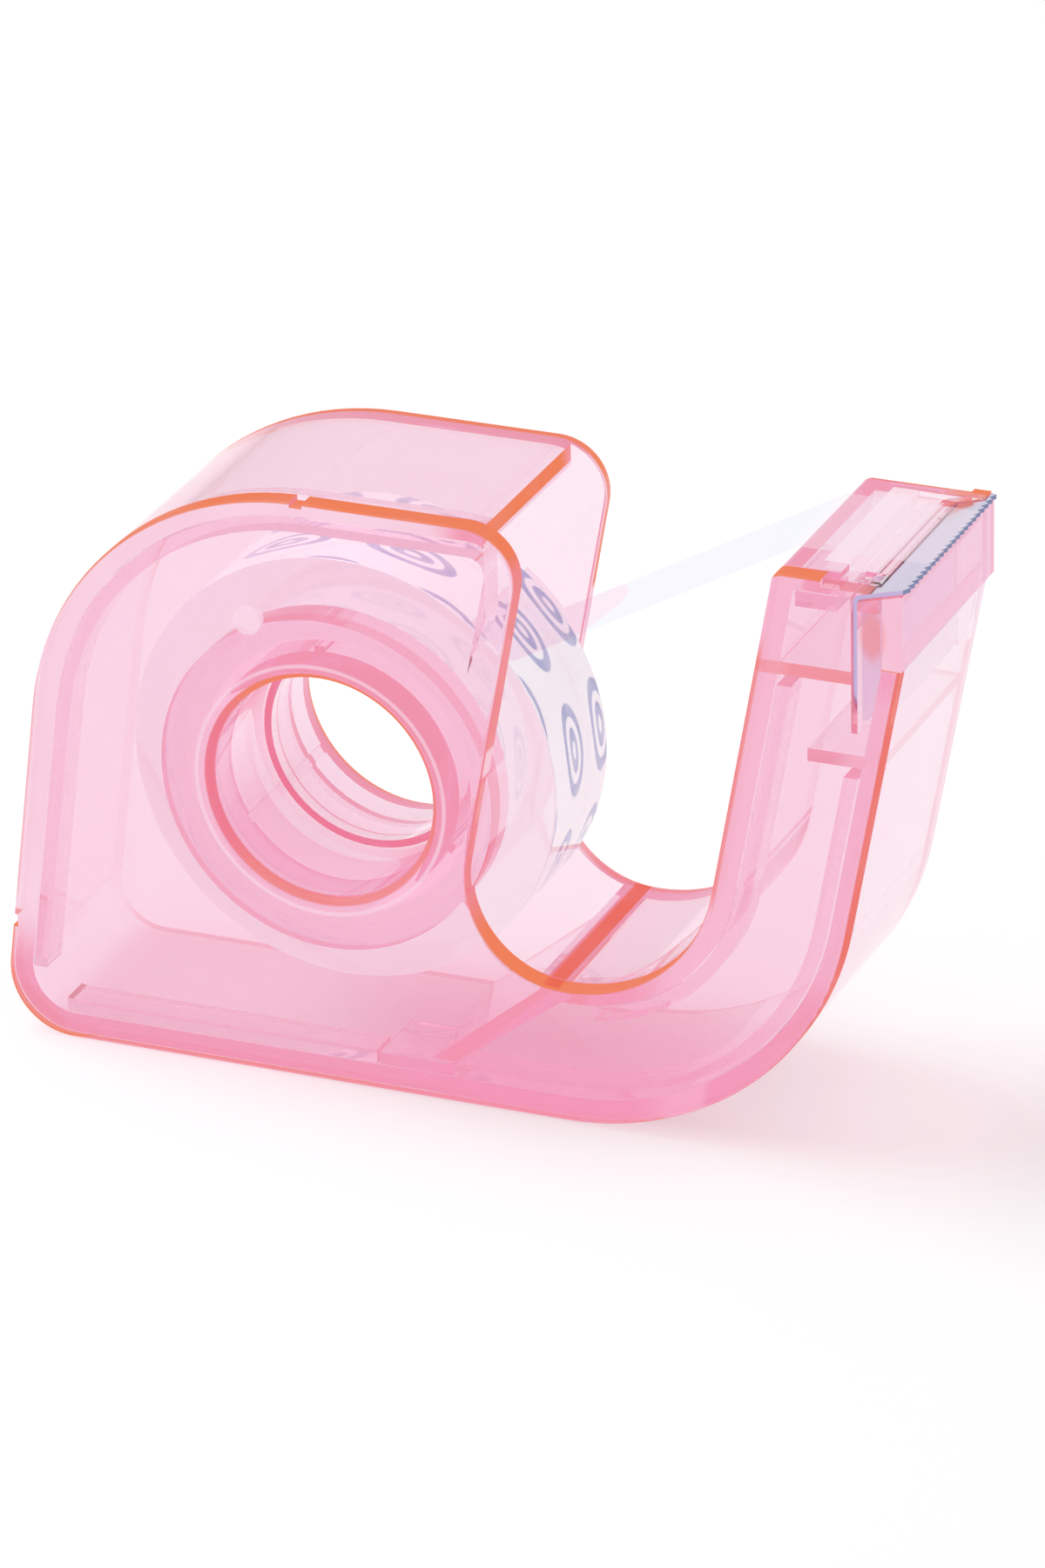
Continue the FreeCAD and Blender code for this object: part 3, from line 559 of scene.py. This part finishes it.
def outline_light(n, p, settings):
    """Fine lines on the cover along the arm's inner edge, the heel and the back edge."""
    arm = n.times(p.skin, n.band(p.lean, -0.1, 0.6, 0.25), n.band(p.z, 22, 50, 3))
    lean = n.math("MULTIPLY_ADD", p.above_axis, -BACK_LEAN, n.math("SUBTRACT", p.x, BACK_X * MM))
    by_back = n.times(p.skin, n.band(lean, -0.1, 0.4, 0.2))
    corner = n.times(p.skin, n.band(n.distance(p.x, p.z, *HEEL), 5.55, 6.1, 0.15), n.ramp(p.z, 6.2, 5.8),
                     n.ramp(p.x, -22, -25))
    heel = n.most(corner, n.times(by_back, n.band(p.z, 5.8, 10.4, 0.3)))
    return (
        (arm, settings.salmon, 0.75),
        (heel, settings.glow, 0.8),
        (n.times(by_back, n.band(p.z, 12, 38, 3)), settings.salmon, 0.45),
    )


def case_glow(n, body, settings):
    """Lays painted light over the clear body, the light that gathers at cut edges, uneven as dye is; later layers
    lie on top.
    """
    p = CasePoint(n)
    uneven = n.math("MULTIPLY_ADD", n.noise(90.0, 2.0), 0.5, 0.7, clamp=True)
    shader = body
    for lights in (base_light, edge_light, wall_light, hub_light, arm_light, outline_light):
        for mask, colour, share in lights(n, p, settings):
            shader = n.blend(n.times(mask, uneven, share), shader, n.emit((*colour, 1.0)))
    return shader


def clear_plastic(name, settings):
    """Polished clear plastic that goes to its body colour with depth and lights up at its cut edges."""
    n = finish_of(name)
    waves = n.bump(n.noise(60.0, 1.0), 0.02 * MM, 0.6)
    body = n.surface(normal=waves, Base_Color=(1, 1, 1, 1), Roughness=0.02, IOR=PLASTIC_IOR, Transmission_Weight=1.0)
    passing = n.light_ray()
    dye = n.blend(passing, n.soak(SEEN_DYE, settings.density), n.soak(LIGHT_DYE, settings.density))
    # Painted light in step with the dye, so that a long way through it ends at the body colour and not at black
    bright = tuple(settings.density * (1 - left) * level for left, level in zip(SEEN_DYE, settings.body))
    volume = n.both(dye, n.emit((*bright, 1.0), n.rest(passing)))
    return n.finish(n.light_passes(case_glow(n, body, settings), PLASTIC_SHADE), volume)


def steel():
    """Bright rolled strip with fine lines along its length, with painted shade that makes it darker at its cut ends
    and teeth.
    """
    n = finish_of("bright_rolled_steel")
    x = n.place()[0]
    lines = n.noise(900.0, 3.0, (1.0, 0.02, 1.0))
    rough = n.math("MULTIPLY_ADD", lines, 0.1, 0.15)
    shade = n.colour(lines, *map(linear, STEEL_LINES))
    nx, ny, _ = n.outward()
    # Painted shade on the teeth's forward faces and on the cut ends
    teeth = n.times(n.step(nx, 0.3, 0.6), n.ramp(x, *TEETH_X))
    ends = n.step(n.math("ABSOLUTE", ny), 0.6, 0.9)
    shade = n.colour(ends, shade, linear(STEEL_END_SHADE))
    shade = n.colour(teeth, shade, linear(TEETH_SHADE))
    return n.finish(n.surface(normal=n.bump(lines, 0.004 * MM, 0.4), Base_Color=shade, Metallic=1.0,
                              Roughness=rough))


def printed_core(settings):
    """White core printed on its outer face with staggered rows of outlined ovals, each round an oval ring."""
    n = finish_of("printed_core")
    x, y, z = n.place()
    turn = n.math("DIVIDE", n.math("ARCTAN2", n.math("SUBTRACT", z, AXIS_Z), x), 2 * math.pi)
    row_pitch = (CORE_HIGH.y - CORE_LOW.y) / settings.rows
    across = n.math("DIVIDE", n.math("SUBTRACT", y, CORE_LOW.y), row_pitch)
    row = n.math("FLOOR", across)
    v = n.math("MULTIPLY", n.math("SUBTRACT", n.math("FRACT", across), 0.5), row_pitch)
    around = n.math("MULTIPLY_ADD", turn, float(settings.motifs), n.math("MULTIPLY", row, 0.5))
    pitch = 2 * math.pi * CORE_R / settings.motifs
    u = n.math("MULTIPLY", n.math("SUBTRACT", n.math("FRACT", n.math("ADD", around, 20.0)), 0.5), pitch)

    def oval(length, width):
        a = n.math("DIVIDE", u, length / 2)
        b = n.math("DIVIDE", v, width / 2)
        return n.math("SQRT", n.math("ADD", n.math("MULTIPLY", a, a), n.math("MULTIPLY", b, b)))

    outer = oval(settings.motif_length, settings.motif_width)
    inner = oval(settings.motif_length * SMALL_OVAL[0], settings.motif_width * SMALL_OVAL[1])
    outline = n.times(n.step(outer, 1.0, 0.94), n.step(outer, 0.66, 0.72))
    heart = n.times(n.step(inner, 1.0, 0.9), n.step(inner, 0.3, 0.45))
    outside = n.step(n.reach(x, z), CORE_R - 0.3 * MM, CORE_R - 0.2 * MM)
    worn = n.math("MULTIPLY_ADD", n.noise(500.0, 2.0), 0.6, 0.4, clamp=True)
    ink = n.times(n.most(outline, heart), outside, worn)
    shade = n.colour(ink, linear(CORE_WHITE), (*settings.ink, 1.0))
    return n.finish(n.surface(Base_Color=shade, Roughness=0.35, Emission_Color=shade, Emission_Strength=CORE_LIGHT))


def wound_film():
    """Many turns of clear film, faintly milky, and milky as seen on its two ends; the milkiness is painted as the
    film's own light, on the ends only where they face the view.
    """
    n = finish_of("wound_film")
    backside = n.add("ShaderNodeNewGeometry").outputs["Backfacing"]
    end = n.times(n.step(n.math("ABSOLUTE", n.outward()[1]), 0.5, 0.8), n.rest(backside))
    rough = n.math("MULTIPLY_ADD", end, 0.12, 0.03)
    body = n.surface(Base_Color=(1, 1, 1, 1), Roughness=rough, IOR=FILM_IOR, Transmission_Weight=1.0)
    # The milkiness is painted light: the film's own glow, more on the ends
    haze_glow = n.blend(n.math("MULTIPLY_ADD", end, END_HAZE_GLOW, FILM_HAZE_GLOW), body,
                   n.emit(n.colour(end, linear(FILM_MILK_GLOW), linear(END_MILK_GLOW))))
    return n.finish(n.light_passes(haze_glow, FILM_SHADE))


def winding_surface(core_r, outer_r, low_y, high_y, settings):
    """Ring turned about the roll's axis.

    Profile (r, y): a rectangle with corner radius c, r = r0 -+ c (1 - cos t), y = y0 -+ c (1 - sin t), with a
    support point just before each corner; point = (r cos a, y, r sin a + axis height) for a in 0..2 pi.
    """
    c = settings.film_corner
    hold = 0.05 * c
    t = np.linspace(0, math.pi / 2, 5)
    corners = ((outer_r - c, high_y - c, 0), (core_r + c, high_y - c, 1), (core_r + c, low_y + c, 2),
               (outer_r - c, low_y + c, 3))
    profile = []
    for r0, y0, quarter in corners:
        turn = t + quarter * math.pi / 2
        before = (r0 + c * math.cos(turn[0]) + hold * math.sin(turn[0]),
                  y0 + c * math.sin(turn[0]) - hold * math.cos(turn[0]))
        after = (r0 + c * math.cos(turn[-1]) - hold * math.sin(turn[-1]),
                 y0 + c * math.sin(turn[-1]) + hold * math.cos(turn[-1]))
        profile += [before, *zip(r0 + c * np.cos(turn), y0 + c * np.sin(turn)), after]
    profile = np.array(profile)
    count, around = len(profile), settings.film_segments
    a = np.linspace(0, 2 * math.pi, around, endpoint=False)[:, None]
    r, y = profile[None, :, 0], profile[None, :, 1]
    points = np.stack([r * np.cos(a), y + 0 * a, r * np.sin(a) + AXIS_Z], -1).reshape(-1, 3)
    i, j = np.meshgrid(np.arange(around), np.arange(count), indexing="ij")
    k, m = (i + 1) % around, (j + 1) % count
    faces = np.stack([i * count + j, i * count + m, k * count + m, k * count + j], -1).reshape(-1, 4)
    mesh = bpy.data.meshes.new("wound_film")
    mesh.from_pydata(points.tolist(), [], faces.tolist())
    mesh.polygons.foreach_set("use_smooth", [True] * len(faces))
    ring = bpy.data.objects.new("wound_film", mesh)
    bpy.context.scene.collection.objects.link(ring)
    return ring


def free_film():
    """Single clear film, faintly blue, with a painted pink reflection of the case by the roll and a brighter painted
    sheen where it lies on the head.
    """
    n = finish_of("free_film")
    x, y, _ = n.place()
    # Painted pink reflection of the case beside the roll, with a bowed edge
    bulge = n.math("MULTIPLY", n.math("MULTIPLY", y, y), 0.06 / MM)
    beside_roll = n.ramp(n.math("ADD", x, bulge), *BESIDE_ROLL_X)
    on_head = n.ramp(x, *ON_HEAD_X)
    tint = n.colour(beside_roll, linear(FREE_TINT), linear(BESIDE_ROLL_REFLECTION))
    tint = n.colour(on_head, tint, linear(ON_HEAD_TINT))
    # Painted sheen: the film's own light, faint and milky off the head and brighter where it lies on the head
    sheen = n.math("MULTIPLY_ADD", on_head, 0.14, FILM_HAZE_GLOW)
    shine = n.colour(on_head, linear(FREE_SHEEN), linear(ON_HEAD_SHEEN))
    film = n.blend(sheen, n.clear(tint), n.emit(shine))
    return n.finish(n.light_passes(film, FILM_SHADE))


# ---------------------------------------------------------------- operators

class DISPENSER_OT_case(bpy.types.Operator):
    """Give both mouldings their clear glowing plastic"""

    bl_idname = "dispenser.case"
    bl_label = "Clear case"

    def execute(self, context):
        settings = context.scene.dispenser_case
        dress("far_shell", clear_plastic("shell_clear_plastic", settings))
        dress("near_cover", clear_plastic("cover_clear_plastic", settings))
        return {"FINISHED"}


class DISPENSER_OT_cutter(bpy.types.Operator):
    """Give the cutter its rolled steel"""

    bl_idname = "dispenser.cutter"
    bl_label = "Cutter"

    def execute(self, context):
        dress("cutter_blade", steel())
        return {"FINISHED"}


class DISPENSER_OT_roll(bpy.types.Operator):
    """Print the core and make the winding clear film"""

    bl_idname = "dispenser.roll"
    bl_label = "Roll of tape"

    def execute(self, context):
        settings = context.scene.dispenser_roll
        dress("tape_core", printed_core(settings))
        ring = winding_surface(CORE_R - settings.film_grip, WOUND_R, WOUND_LOW.y, WOUND_HIGH.y, settings)
        ring.data.materials.append(wound_film())
        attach(ring, "roll")
        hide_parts("tape_winding")
        return {"FINISHED"}


class DISPENSER_OT_free_tape(bpy.types.Operator):
    """Make the free tape a single clear film"""

    bl_idname = "dispenser.free_tape"
    bl_label = "Free tape"

    def execute(self, context):
        dress("tape_leader", free_film())
        return {"FINISHED"}


def camera_axes(settings):
    """Right, up and back directions of the camera from its turn, rise and roll."""
    a, e, r = settings.turn, settings.rise, settings.roll
    back = Vector((math.sin(a) * math.cos(e), -math.cos(a) * math.cos(e), math.sin(e)))
    right = Vector((math.cos(a), math.sin(a), 0))
    up = back.cross(right)
    return (right * math.cos(r) + up * math.sin(r), up * math.cos(r) - right * math.sin(r), back)


def add_camera(settings):
    right, up, back = camera_axes(settings)
    hub = Vector((0, SHELL_LOW.y, AXIS_Z))
    place = hub + right * settings.aim_right + up * settings.aim_up + back * settings.distance
    data = bpy.data.cameras.new("camera")
    data.lens = settings.lens
    data.clip_start, data.clip_end = CAMERA_CLIP
    camera = bpy.data.objects.new("camera", data)
    camera.matrix_world = Matrix.Translation(place) @ Matrix((right, up, back)).transposed().to_4x4()
    bpy.context.scene.collection.objects.link(camera)
    bpy.context.scene.camera = camera


def add_floor():
    """Plain white floor that keeps a soft shadow, a hair below the base so that the base still mirrors inside."""
    corners = np.array([(-1, -1, 0), (1, -1, 0), (1, 1, 0), (-1, 1, 0)]) * FLOOR_HALF + (0, 0, FLOOR_LEVEL)
    mesh = bpy.data.meshes.new("floor")
    mesh.from_pydata(corners.tolist(), [], [(0, 1, 2, 3)])
    floor = bpy.data.objects.new("floor", mesh)
    bpy.context.scene.collection.objects.link(floor)
    n = finish_of("white_floor")
    white = n.add("ShaderNodeBsdfDiffuse")
    white.inputs["Color"].default_value = FLOOR_WHITE
    lift = n.emit((1, 1, 1, 1), n.math("MULTIPLY", n.seen_ray(), FLOOR_LIFT))
    mesh.materials.append(n.finish(n.both(white.outputs[0], lift)))


def add_lamp(name, place, target, size, power):
    data = bpy.data.lights.new(name, "AREA")
    data.shape = "DISK"
    data.size = size
    data.energy = power
    lamp = bpy.data.objects.new(name, data)
    lamp.location = place
    lamp.rotation_euler = (Vector(target) - Vector(place)).to_track_quat("-Z", "Y").to_euler()
    bpy.context.scene.collection.objects.link(lamp)


def add_sky(settings):
    """Even light from all round, at full strength only where the sky itself is seen."""
    world = bpy.data.worlds.new("studio")
    bpy.context.scene.world = world
    n = Nodes(world, "ShaderNodeOutputWorld")
    n.finish(n.blend(n.seen_ray(), n.sky(settings.sky), n.sky(1.0)))


class DISPENSER_OT_stage(bpy.types.Operator):
    """Add the camera, the floor and the light"""

    bl_idname = "dispenser.stage"
    bl_label = "Stage"

    def execute(self, context):
        settings = context.scene.dispenser_stage
        add_camera(settings)
        add_floor()
        add_lamp("key", KEY_PLACE, KEY_AIM, KEY_SIZE, settings.key)
        add_sky(settings)
        context.scene.view_settings.view_transform = "Standard"
        context.scene.cycles.max_bounces = LIGHT_BOUNCES
        context.scene.cycles.transmission_bounces = LIGHT_BOUNCES
        context.scene.cycles.transparent_max_bounces = LIGHT_BOUNCES
        return {"FINISHED"}


OPERATORS = (DISPENSER_OT_case, DISPENSER_OT_cutter, DISPENSER_OT_roll, DISPENSER_OT_free_tape,
             DISPENSER_OT_stage)


class DISPENSER_PT_panel(bpy.types.Panel):
    """Lists the steps in order"""

    bl_idname = "DISPENSER_PT_panel"
    bl_label = "Tape dispenser"
    bl_space_type = "VIEW_3D"
    bl_region_type = "UI"
    bl_category = "Dispenser"

    def draw(self, context):
        for operator in OPERATORS:
            self.layout.operator(operator.bl_idname)
        for group in (context.scene.dispenser_case, context.scene.dispenser_roll, context.scene.dispenser_stage):
            box = self.layout.box()
            for name in group.__annotations__:
                box.prop(group, name)


CLASSES = (CaseSettings, RollSettings, StageSettings, *OPERATORS, DISPENSER_PT_panel)
GROUPS = {"dispenser_case": CaseSettings, "dispenser_roll": RollSettings, "dispenser_stage": StageSettings}


def register():
    for cls in CLASSES:
        bpy.utils.register_class(cls)
    for name, group in GROUPS.items():
        setattr(bpy.types.Scene, name, bpy.props.PointerProperty(type=group))


def unregister():
    for name in GROUPS:
        delattr(bpy.types.Scene, name)
    for cls in reversed(CLASSES):
        bpy.utils.unregister_class(cls)


def main():
    register()
    bpy.ops.dispenser.case()
    bpy.ops.dispenser.cutter()
    bpy.ops.dispenser.roll()
    bpy.ops.dispenser.free_tape()
    bpy.ops.dispenser.stage()


if __name__ == "__main__":
    main()
